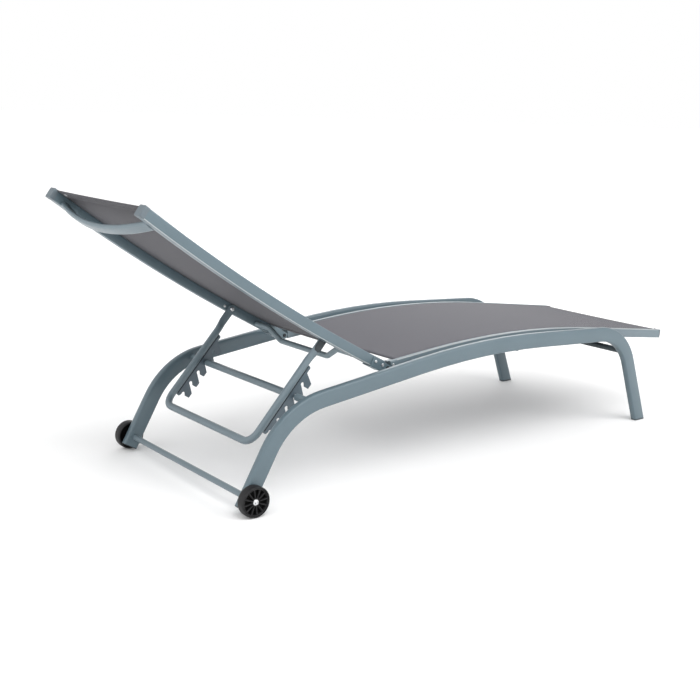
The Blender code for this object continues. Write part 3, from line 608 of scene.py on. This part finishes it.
def build_sling(node):
    """The cloth between the rails' slots, its folded hems and their stitches."""
    sling = Sling(node)
    body = BODY[node]
    flat = sling.slot_y - 0.0004
    turned = sling.slot_y + 0.0001
    columns = [flat * (2 * k / CLOTH_COLUMNS - 1) for k in range(CLOTH_COLUMNS + 1)]
    rows = len(sling.points)
    verts, layout = [], []
    for i in range(rows):
        distance = sling.length * i / (rows - 1)
        _, up, _ = sling.at(distance)
        edge = sling.surface(distance, flat)
        row = [(Vector((edge.x, -turned, edge.z)) - up * drop, -flat - drop) for drop in EDGE_DROPS[::-1]]
        row += [(sling.surface(distance, y), y) for y in columns]
        row += [(Vector((edge.x, turned, edge.z)) - up * drop, flat + drop) for drop in EDGE_DROPS]
        verts += [point for point, _ in row]
        layout += [(y, distance) for _, y in row]
    faces = grid_faces(rows, len(columns) + 2 * len(EDGE_DROPS), False)
    cloth = piece(f"{node}_cloth", verts, faces, CLOTH_LOOK, body, 60.0)
    lay_weave(cloth, layout)
    # the slings' undersides get the darker cloth: painted shade
    solidify(cloth, CLOTH, CLOTH_UNDER_PAINTED_SHADE)
    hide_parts(node)
    extras = [build_hem(sling, node, end, body) for end in (0, 1)]
    extras.append(build_stitches(sling, node, body))
    return sling


def build_hem(sling, node, end, body):
    """The end of the cloth folded under itself, between the rails."""
    half = sling.rail_inner - 0.0015
    columns = [half * (2 * k / HEM_COLUMNS - 1) for k in range(HEM_COLUMNS + 1)]
    steps = [(0.010, 0.0), (0.004, 0.0), (0.0, 0.0)]
    for k in range(1, 6):
        angle = math.pi * k / 6
        steps.append((-HEM_FOLD * math.sin(angle), -HEM_FOLD * (1 - math.cos(angle))))
    steps += [(reach, -2 * HEM_FOLD) for reach in (0.0, 0.008, 0.017, HEM)]
    steps.append((HEM + 0.0006, -1.6 * HEM_FOLD))
    verts, layout = [], []
    run = 0.0
    for k, (reach, drop) in enumerate(steps):
        if k:
            run += math.hypot(reach - steps[k - 1][0], drop - steps[k - 1][1])
        inside = max(reach, 0.0)
        distance = sling.length - inside if end else inside
        _, _, way = sling.at(distance)
        past = way * (min(reach, 0.0) * (-1 if end else 1))
        for y in columns:
            verts.append(sling.surface(distance, y, drop - 0.00004) + past)
            layout.append((y, run))
    faces = grid_faces(len(steps), len(columns), False)
    # the hem's cloth is darker: painted shade
    hem = piece(f"{node}_hem_{end + 1}", verts, faces, HEM_PAINTED_SHADE_LOOK, body, 70.0)
    lay_weave(hem, layout)
    solidify(hem, CLOTH)
    return hem


def pill(centre, way, up, length, width, height):
    """A small rounded bar: one stitch."""
    side = way.cross(up)
    rings = ((-0.5, 0.05), (-0.42, 0.75), (-0.15, 1.0), (0.15, 1.0), (0.42, 0.75), (0.5, 0.05))
    size = 6
    verts = []
    for reach, fat in rings:
        for k in range(size):
            angle = 2 * math.pi * k / size
            verts.append(centre + way * (reach * length) + side * (math.cos(angle) * width * fat)
                         + up * (math.sin(angle) * height * fat))
    return verts, capped_faces(len(rings), size)


def build_stitches(sling, node, body):
    """Two rows of stitches along each hem, which show above and below."""
    parts = []
    half = sling.rail_inner - 0.004
    count = int(2 * half / STITCH_PITCH)
    for end in (0, 1):
        for row in STITCH_ROWS:
            distance = sling.length - row if end else row
            _, up, _ = sling.at(distance)
            for k in range(count):
                y = half * (2 * (k + 0.5) / count - 1)
                above = sling.surface(distance, y, CLOTH / 2)
                below = sling.surface(distance, y, -1.55 * CLOTH - 0.0006)
                for centre in (above, below):
                    parts.append(pill(centre, Y_WAY, up, STITCH_LENGTH, STITCH_WIDTH, STITCH_HEIGHT))
    verts, faces = merged(parts)
    return piece(f"{node}_stitches", verts, faces, THREAD, body, 60.0)


def build_tacks(sling):
    """Bar tacks at the corners of the head hem, on the underside."""
    _, up, way = sling.at(TACK_AT)
    parts = []
    for _, sign in SIDES:
        for k in range(TACK_THREADS):
            y = sign * (sling.rail_inner - TACK_FROM_RAIL) + (k - TACK_THREADS // 2) * TACK_PITCH
            centre = sling.surface(TACK_AT, y, -1.9 * CLOTH - 0.0004)
            parts.append(pill(centre, way, up, TACK_LENGTH, TACK_WIDTH, TACK_HEIGHT))
    verts, faces = merged(parts)
    piece("head_hem_tacks", verts, faces, TACK, "backrest", 60.0)


# ---------------------------------------------------------------- screws and small fittings

def screw_head(centre, out, radius, height):
    """A pan head with a cross recess, which faces the way out along Y."""
    count, rings = 48, 14
    verts = []
    for ring in range(rings + 1):
        share = ring / rings
        for k in range(count):
            angle = 2 * math.pi * k / count
            x, z = radius * share * math.cos(angle), radius * share * math.sin(angle)
            if share < HEAD_RIM:
                rise = height * (1 - HEAD_FALL * share ** 2.5)
            else:
                rise = height * (1 - HEAD_FALL) * (1 - share) / (1 - HEAD_RIM)
            if share < CROSS_REACH and min(abs(x), abs(z)) < radius * CROSS_HALF_WIDTH:
                rise -= height * CROSS_DEPTH * (1 - 0.5 * share / CROSS_REACH)
            verts.append(centre + Vector((x, out * max(rise, 0.0), z)))
    faces = grid_faces(rings + 1, count)
    faces.append(tuple(rings * count + k for k in range(count)))
    return verts, faces


def build_screws():
    """Cross-head screws in place of the plain CAD heads."""
    jobs = []
    for label, sign in SIDES:
        jobs += [(f"back_bracket_rivet_{label}_{i}", sign) for i in (1, 2)]
        jobs.append((f"seat_hinge_screw_{label}", sign))
    for node, sign in jobs:
        low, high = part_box(node)
        centre = (low + high) / 2
        base = Vector((centre.x, low.y if sign > 0 else high.y, centre.z))
        verts, faces = screw_head(base, sign, (high.x - low.x) / 2, high.y - low.y)
        head = piece(f"{node}_head", verts, faces, ZINC, BODY[node], 30.0)
        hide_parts(node)


def build_pivot_fittings():
    """Cross recesses, washers and the spare screw beside each prop pivot."""
    rail_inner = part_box("seat_rail_left")[0].y
    for label, sign in SIDES:
        bolt = f"prop_pivot_bolt_{label}"
        refined(bolt, ZINC)
        low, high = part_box(bolt)
        centre = (low + high) / 2
        inner = low.y if sign > 0 else high.y
        cross = Vector((centre.x, inner + sign * 0.0002, centre.z))
        verts, faces = screw_head(cross, -sign, 0.0046, 0.0011)
        piece(f"{bolt}_cross", verts, faces, ZINC, "backrest", 30.0)
        rail_face = Vector((centre.x, sign * rail_inner, centre.z))
        verts, faces = screw_head(rail_face + SPARE_SCREW_FROM_BOLT, -sign, 0.0040, 0.0016)
        piece(f"spare_screw_{label}", verts, faces, ZINC, "backrest", 30.0)
        verts, faces = lathe(WASHER, rail_face - Y_WAY * (sign * 0.0012), sign, 32)
        piece(f"pivot_washer_{label}", verts, faces, DARK, "backrest", 30.0)


def arm_axes():
    """The prop's pivot, the way down its arms and the way square to them, to their notches."""
    low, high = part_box("prop_pivot_bolt_left")
    pivot = Vector(((low.x + high.x) / 2, 0, (low.z + high.z) / 2))
    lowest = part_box("prop_frame")[0].z
    ends = [v.co for v in NODES["prop_frame"].data.vertices if v.co.z < lowest + 0.002]
    bottom = sum(ends, Vector()) / len(ends)
    down = Vector((bottom.x - pivot.x, 0, bottom.z - pivot.z)).normalized()
    return pivot, down, Vector((-down.z, 0, down.x))


def build_arm_end_shade():
    """A thin near-black patch over the outer face of each flattened arm end: painted shade where the rail
    above shades it.
    """
    pivot, down, out = arm_axes()
    face = max(v.co.y for v in NODES["prop_frame"].data.vertices
               if abs((v.co - pivot).dot(down)) < ARM_FLAT_LENGTH)
    rings = ((0.97, 0.0), (1.0, 0.0002), (1.0, 0.0005), (0.95, 0.0008))
    count = 48
    for label, sign in SIDES:
        verts = []
        for share, lift in rings:
            for k in range(count):
                angle = 2 * math.pi * k / count
                along = SHADE_PATCH_MIDDLE + SHADE_PATCH_HALF_LENGTH * share * squared(math.cos(angle), SHADE_PATCH_SQUARENESS)
                across = SHADE_PATCH_HALF_WIDTH * share * squared(math.sin(angle), SHADE_PATCH_SQUARENESS)
                verts.append(pivot + down * along + out * across + Y_WAY * (sign * (face + lift)))
        faces = capped_faces(len(rings), count)
        piece(f"arm_end_shade_{label}", verts, faces, ARM_END_PAINTED_SHADE, "prop", 50.0)


def build_arm_crease_shade():
    """A thin dark line on each side of the line where a notched plate meets its arm: painted shade in the
    crevice between them.
    """
    pivot, down, out = arm_axes()
    low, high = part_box("ratchet_plate_left")
    arm = [v.co - pivot for v in NODES["prop_frame"].data.vertices if v.co.y > low.y - 0.010]
    edge = [max(point.dot(out) for point in arm if abs(point.dot(down) - reach) < 0.002) + CREASE_SHADE_OFFSET
            for reach in CREASE_SHADE_RINGS]
    for label, sign in SIDES:
        parts = []
        for y in (low.y - 0.0001, high.y + 0.0001):
            stations = []
            for i in range(CREASE_SHADE_STATIONS + 1):
                reach = CREASE_SHADE_FROM + (CREASE_SHADE_TO - CREASE_SHADE_FROM) * i / CREASE_SHADE_STATIONS
                share = (reach - CREASE_SHADE_RINGS[0]) / (CREASE_SHADE_RINGS[1] - CREASE_SHADE_RINGS[0])
                across = edge[0] + (edge[1] - edge[0]) * share
                centre = pivot + down * reach + out * across + Y_WAY * (sign * y)
                stations.append((centre, out * CREASE_SHADE_RADIUS, Y_WAY * CREASE_SHADE_RADIUS))
            parts.append(bead(stations))
        verts, faces = merged(parts)
        piece(f"arm_crease_shade_{label}", verts, faces, DARK, "prop", 50.0)


def build_rail_highlights():
    """Thin light beads as a painted highlight on the rounded edges: along the foot of each back rail and
    the top of each seat rail.
    """
    for part, lift in (("back", -(RAIL - 0.0012 - HIGHLIGHT_INSET)), ("seat", 0.0010 - HIGHLIGHT_INSET)):
        sling = Sling(f"{part}_sling")
        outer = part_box(f"{part}_rail_left")[1].y - HIGHLIGHT_INSET
        start, stop = 0.002, sling.length - 0.004
        for label, sign in SIDES:
            stations = []
            for i in range(HIGHLIGHT_STATIONS + 1):
                point, up, _ = sling.at(start + (stop - start) * i / HIGHLIGHT_STATIONS)
                centre = point + up * lift + Y_WAY * (sign * outer)
                stations.append((centre, Y_WAY * HIGHLIGHT_RADIUS, up * HIGHLIGHT_RADIUS))
            verts, faces = bead(stations)
            piece(f"{part}_rail_highlight_{label}", verts, faces, EDGE_PAINTED_HIGHLIGHT, BODY[f"{part}_rail_left"],
                  50.0)


def build_rod_core():
    """The slim core that shows where the notched plates hook over the ratchet rod, and its collars."""
    low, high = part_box("ratchet_rod")
    axis = Vector(((low.x + high.x) / 2, 0, (low.z + high.z) / 2))
    inner = high.y
    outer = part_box("ratchet_rod_stub_left")[0].y
    for label, sign in SIDES:
        start, stop = inner - CORE_OVERLAP, outer + CORE_OVERLAP
        core = [(0, start), (CORE_RADIUS, start), (CORE_RADIUS, stop), (0, stop)]
        verts, faces = lathe(core, axis, sign, 28, True)
        piece(f"ratchet_core_{label}", verts, faces, COAT_FITTING, "frame", 40.0)
        for number, way, y in ((1, -1, inner), (2, 1, outer)):
            collar = [(CORE_RADIUS - 0.0003, way * 0.0001), (0.0066, way * 0.0001), (0.0088, -way * 0.0003),
                      (0.0088, way * 0.0012), (CORE_RADIUS - 0.0003, way * 0.0012)]
            verts, faces = lathe(collar, axis + Y_WAY * (sign * y), sign, 32)
            piece(f"ratchet_collar_{label}_{number}", verts, faces, COAT, "frame", 40.0)


def build_welds():
    """Weld beads where the crossbars and spacers meet the frames and rails."""
    round_ends = []
    for node in ("axle_tube", "foot_cross_tube", "middle_cross_tube"):
        round_ends += [(node, sign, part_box(node)[1].y) for _, sign in SIDES]
    for label, sign in SIDES:
        for node in ("ratchet_rod_stub", "seat_spacer_hinge", "seat_spacer_middle", "seat_spacer_foot"):
            low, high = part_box(f"{node}_{label}")
            round_ends.append((f"{node}_{label}", sign, high.y if sign > 0 else -low.y))
    parts = []
    for node, sign, reach in round_ends:
        low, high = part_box(node)
        radius = (high.z - low.z) / 2
        place = Vector(((low.x + high.x) / 2, sign * (reach - WELD_DEPTH), (low.z + high.z) / 2))
        parts.append(weld_bead(place, X_WAY, Z_WAY, radius, radius))
    verts, faces = merged(parts)
    piece("frame_weld_beads", verts, faces, COAT, "frame", 60.0)
    parts = []
    for node, along, half_u, half_v in (("head_crossbar", HEAD_BAR_ALONG, 0.0148, 0.0060),
                                        ("lower_back_crossbar", X_WAY, 0.0070, 0.0070)):
        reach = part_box(node)[1].y - 0.0002
        ends = [v.co for v in NODES[node].data.vertices if v.co.y > reach]
        centre = sum(ends, Vector()) / len(ends)
        square = Vector((along.z, 0, -along.x))
        for _, sign in SIDES:
            place = Vector((centre.x, sign * (centre.y - WELD_DEPTH), centre.z))
            parts.append(weld_bead(place, along, square, half_u, half_v, 0.0012))
    verts, faces = merged(parts)
    piece("back_weld_beads", verts, faces, COAT, "backrest", 60.0)


def build_cap_skirts():
    """The thin skirt of each head cap, wrapped round the end of its rail."""
    outline = []
    straight = SKIRT_HALF - SKIRT_CORNER
    for i, (sx, sz) in enumerate(((1, 1), (-1, 1), (-1, -1), (1, -1))):
        for k in range(5):
            angle = math.pi / 2 * (i + k / 4)
            outline.append((sx * straight + SKIRT_CORNER * math.cos(angle),
                            sz * straight + SKIRT_CORNER * math.sin(angle)))
    rings = ((0.0008, -0.0012), (0.0010, -0.0002), (0.0018, 0.0), (0.0125, 0.0), (0.0132, -0.0002),
             (0.0132, -0.0012))
    for label, _ in SIDES:
        cap = f"back_rail_cap_{label}"
        corners = [v.co for v in NODES[cap].data.vertices]
        low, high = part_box(cap)
        reach = min(c.dot(CAP_WAY) for c in corners)
        heights = [c.dot(CAP_UP) for c in corners if c.dot(CAP_WAY) < reach + 0.0005]
        start = CAP_WAY * reach + CAP_UP * (sum(heights) / len(heights)) + Y_WAY * ((low.y + high.y) / 2)
        verts = []
        for distance, grow in rings:
            scale = 1 + grow / SKIRT_HALF
            verts += [start + CAP_WAY * distance + CAP_UP * (b * scale) + Y_WAY * (a * scale)
                      for a, b in outline]
        faces = looped_faces(len(rings), len(outline))
        piece(f"head_cap_skirt_{label}", verts, faces, CAP, "backrest", 40.0)


# ---------------------------------------------------------------- wheels

def spoke(angle, inner, outer, face, back, sign):
    """One tapered spoke with rounded edges, from the hub to the rim."""
    radial = Vector((math.cos(angle), 0, math.sin(angle)))
    side = Vector((-math.sin(angle), 0, math.cos(angle)))
    depth = (face - back) / 2
    middle = (face + back) / 2
    shares = (0.0, 0.25, 0.5, 0.75, 1.0)
    size = 8
    verts = []
    for share in shares:
        radius = inner + (outer - inner) * share
        half = 0.0013 + 0.0009 * share
        for k in range(size):
            turn = 2 * math.pi * (k + 0.5) / size
            a = half * squared(math.cos(turn), SPOKE_SQUARENESS)
            b = depth * squared(math.sin(turn), SPOKE_SQUARENESS)
            verts.append(AXLE + radial * radius + side * a + Y_WAY * (sign * (middle + b)))
    return verts, capped_faces(len(shares), size)


def build_wheel(label, sign):
    """A moulded wheel: tread, rim, hub and spokes over a web painted near black as the shade in its
    pockets.
    """
    body = f"wheel_{label}"
    face, back, r = WHEEL_FACE, WHEEL_BACK, WHEEL_RADIUS
    tread = [(r - 0.0042, face - 0.0022), (r - 0.0038, face - 0.0008), (r - 0.0028, face - 0.0002),
             (r - 0.0016, face - 0.0006), (r - 0.0006, face - 0.0020), (r - 0.0001, face - 0.0045),
             (r, face - 0.0090), (r, back + 0.0085), (r - 0.0002, back + 0.0045),
             (r - 0.0010, back + 0.0018), (r - 0.0022, back + 0.0004), (r - 0.0036, back + 0.0001),
             (r - 0.0042, back + 0.0020)]
    rim = [(r - 0.0072, face - 0.0100), (r - 0.0072, face - 0.0030), (r - 0.0067, face - 0.0016),
           (r - 0.0060, face - 0.0011), (r - 0.0051, face - 0.0016), (r - 0.0046, face - 0.0028),
           (r - 0.0040, face - 0.0036), (r - 0.0040, back + 0.0040), (r - 0.0072, back + 0.0060)]
    hub = [(0.0046, face - 0.0060), (0.0046, face - 0.0030), (0.0078, face - 0.0026),
           (0.0096, face - 0.0032), (0.0104, face - 0.0048), (0.0106, face - 0.0110),
           (0.0106, back + 0.0010), (0.0098, back + 0.0001), (0.0050, back + 0.0001),
           (0.0046, back + 0.0010)]
    web = [(0.0100, face - 0.0098), (r - 0.0068, face - 0.0098), (r - 0.0068, face - 0.0125),
           (0.0100, face - 0.0125)]
    verts, faces = lathe(tread, AXLE, sign, 72)
    tyre = piece(f"{body}_tread", verts, faces, TYRE, body, 30.0)
    parts = [lathe(rim, AXLE, sign, 72), lathe(hub, AXLE, sign, 48)]
    for k in range(SPOKES):
        angle = 2 * math.pi * (k + 0.25) / SPOKES
        parts.append(spoke(angle, 0.0098, r - 0.0068, face - 0.0026, face - 0.0100, sign))
    verts, faces = merged(parts)
    spokes = piece(f"{body}_spokes", verts, faces, BLACK, body, 35.0)
    verts, faces = lathe(web, AXLE, sign, 60)
    pocket = piece(f"{body}_web", verts, faces, POCKET_PAINTED_SHADE, body, 35.0)
    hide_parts(body)
    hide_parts(body)
    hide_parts(body)


def build_hub_caps():
    """The axle bolts with their domed heads, each with two small key holes filled with near-black plugs as
    painted shade.
    """
    for label, sign in SIDES:
        node = f"axle_bolt_{label}"
        refined(node, ZINC)
        low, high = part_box(node)
        base = (high.y if sign > 0 else -low.y) - HUB_HEIGHT
        dome = [(0, base), (0.0074, base), (0.0078, base + 0.0004), (0.0076, base + 0.0012),
                (0.0062, base + 0.0024), (0.0040, base + 0.0032), (0.0018, base + 0.0035),
                (0, base + HUB_HEIGHT)]
        verts, faces = lathe(dome, AXLE, sign, 48, True)
        piece(f"hub_cap_{label}", verts, faces, HUB, "frame", 40.0)
        hole = [(0, base + 0.0024), (0.00095, base + 0.0024), (0.0010, base + 0.00345),
                (0.0007, base + HUB_HEIGHT), (0, base + HUB_HEIGHT)]
        verts, faces = merged([lathe(hole, AXLE + KEY_HOLE * side, sign, 16, True) for side in (-1, 1)])
        piece(f"hub_key_hole_shade_{label}", verts, faces, POCKET_PAINTED_SHADE, "frame", 40.0)


# ---------------------------------------------------------------- the room

def smooth_range(tree, value, start, full, low, high):
    """A value that eases from low at start to high at full."""
    ranged = tree.nodes.new("ShaderNodeMapRange")
    ranged.interpolation_type = "SMOOTHSTEP"
    ranged.inputs["From Min"].default_value = start
    ranged.inputs["From Max"].default_value = full
    ranged.inputs["To Min"].default_value = low
    ranged.inputs["To Max"].default_value = high
    tree.links.new(value, ranged.inputs["Value"])
    return ranged.outputs["Result"]


def build_stage():
    """A wide white floor. It glows a little away from its middle, so that it meets the backdrop unseen."""
    count = 48
    verts = [Vector((0, 0, FLOOR_LEVEL))]
    for radius in FLOOR_RINGS:
        for k in range(count):
            angle = 2 * math.pi * k / count
            verts.append(Vector((radius * math.cos(angle), radius * math.sin(angle), FLOOR_LEVEL)))
    faces = [(0, 1 + k, 1 + (k + 1) % count) for k in range(count)]
    faces += [tuple(1 + i for i in face[::-1]) for face in grid_faces(len(FLOOR_RINGS), count)]
    mesh = bpy.data.meshes.new("studio_floor")
    mesh.from_pydata([tuple(v) for v in verts], [], faces)
    material, tree, shader = new_material("studio_white", (0.93, 0.93, 0.93), 0.9)
    shader.inputs["Specular IOR Level"].default_value = 0.1
    tree.links.new(mix_colours(tree, noise(tree, 2.0), (0.92, 0.92, 0.92), (0.94, 0.94, 0.94)),
                   shader.inputs["Base Color"])
    place = tree.nodes.new("ShaderNodeTexCoord")
    reach = tree.nodes.new("ShaderNodeVectorMath")
    reach.operation = "LENGTH"
    tree.links.new(place.outputs["Object"], reach.inputs[0])
    glow = smooth_range(tree, reach.outputs["Value"], GLOW_START, GLOW_FULL, 0.0, FLOOR_GLOW)
    shader.inputs["Emission Color"].default_value = (1, 1, 1, 1)
    tree.links.new(glow, shader.inputs["Emission Strength"])
    mesh.materials.append(material)
    floor = bpy.data.objects.new("studio_floor", mesh)
    bpy.context.scene.collection.objects.link(floor)


def area_light(name, heading, elevation, distance, size, power):
    """A square softbox that faces the lounger."""
    data = bpy.data.lights.new(name, "AREA")
    data.size = size
    data.energy = power
    lamp = bpy.data.objects.new(name, data)
    bpy.context.scene.collection.objects.link(lamp)
    heading, elevation = math.radians(heading), math.radians(elevation)
    away = Vector((math.cos(elevation) * math.sin(heading), math.cos(elevation) * math.cos(heading),
                   math.sin(elevation)))
    lamp.location = LIGHT_TARGET + away * distance
    lamp.rotation_euler = (-away).to_track_quat("-Z", "Y").to_euler()


def build_lights():
    """Soft studio light: white walls all round, a dimmer ceiling and large softboxes."""
    world = bpy.data.worlds.new("studio")
    bpy.context.scene.world = world
    world.use_nodes = True
    tree = world.node_tree
    place = tree.nodes.new("ShaderNodeTexCoord")
    split = tree.nodes.new("ShaderNodeSeparateXYZ")
    tree.links.new(place.outputs["Generated"], split.inputs[0])
    height = smooth_range(tree, split.outputs["Z"], CEILING_START, CEILING_FULL, 1.0, CEILING)
    backdrop = tree.nodes["Background"]
    tree.links.new(height, backdrop.inputs["Strength"])
    backdrop.inputs["Color"].default_value = (1, 1, 1, 1)
    for softbox in SOFTBOXES:
        area_light(*softbox)


def build_camera():
    """A three-quarter view from behind the backrest, from its right side."""
    data = bpy.data.cameras.new("camera")
    data.sensor_width = CAMERA_SENSOR
    data.lens = CAMERA_LENS
    camera = bpy.data.objects.new("camera", data)
    bpy.context.scene.collection.objects.link(camera)
    aim = Vector((math.cos(CAMERA_DOWN) * math.sin(CAMERA_HEADING),
                  math.cos(CAMERA_DOWN) * math.cos(CAMERA_HEADING), -math.sin(CAMERA_DOWN)))
    level = aim.cross(Z_WAY).normalized()
    top = level.cross(aim)
    right = level * math.cos(CAMERA_ROLL) + top * math.sin(CAMERA_ROLL)
    up = top * math.cos(CAMERA_ROLL) - level * math.sin(CAMERA_ROLL)
    turn = Matrix((right, up, -aim)).transposed()
    camera.matrix_world = Matrix.Translation(AXLE + CAMERA_FROM_AXLE) @ turn.to_4x4()
    bpy.context.scene.camera = camera
    bpy.context.scene.view_settings.view_transform = "Standard"


def finish_structure():
    """Every CAD node that keeps its own shape, with smooth joined faces and its own finish."""
    for node in sorted(NODES):
        if node.startswith(REMADE):
            continue
        look = next((look for start, look in LOOKS.items() if node.startswith(start)), None)
        refined(node, look, PLATE_BEVEL if node.startswith("ratchet_plate") else 0.0)


def main():
    """Build the looks."""
    build_camera()
    build_stage()
    build_lights()
    finish_structure()
    build_sling("seat_sling")
    build_tacks(build_sling("back_sling"))
    build_screws()
    build_pivot_fittings()
    build_arm_end_shade()
    build_arm_crease_shade()
    build_rail_highlights()
    build_rod_core()
    build_welds()
    build_cap_skirts()
    for label, sign in SIDES:
        build_wheel(label, sign)
    build_hub_caps()


main()
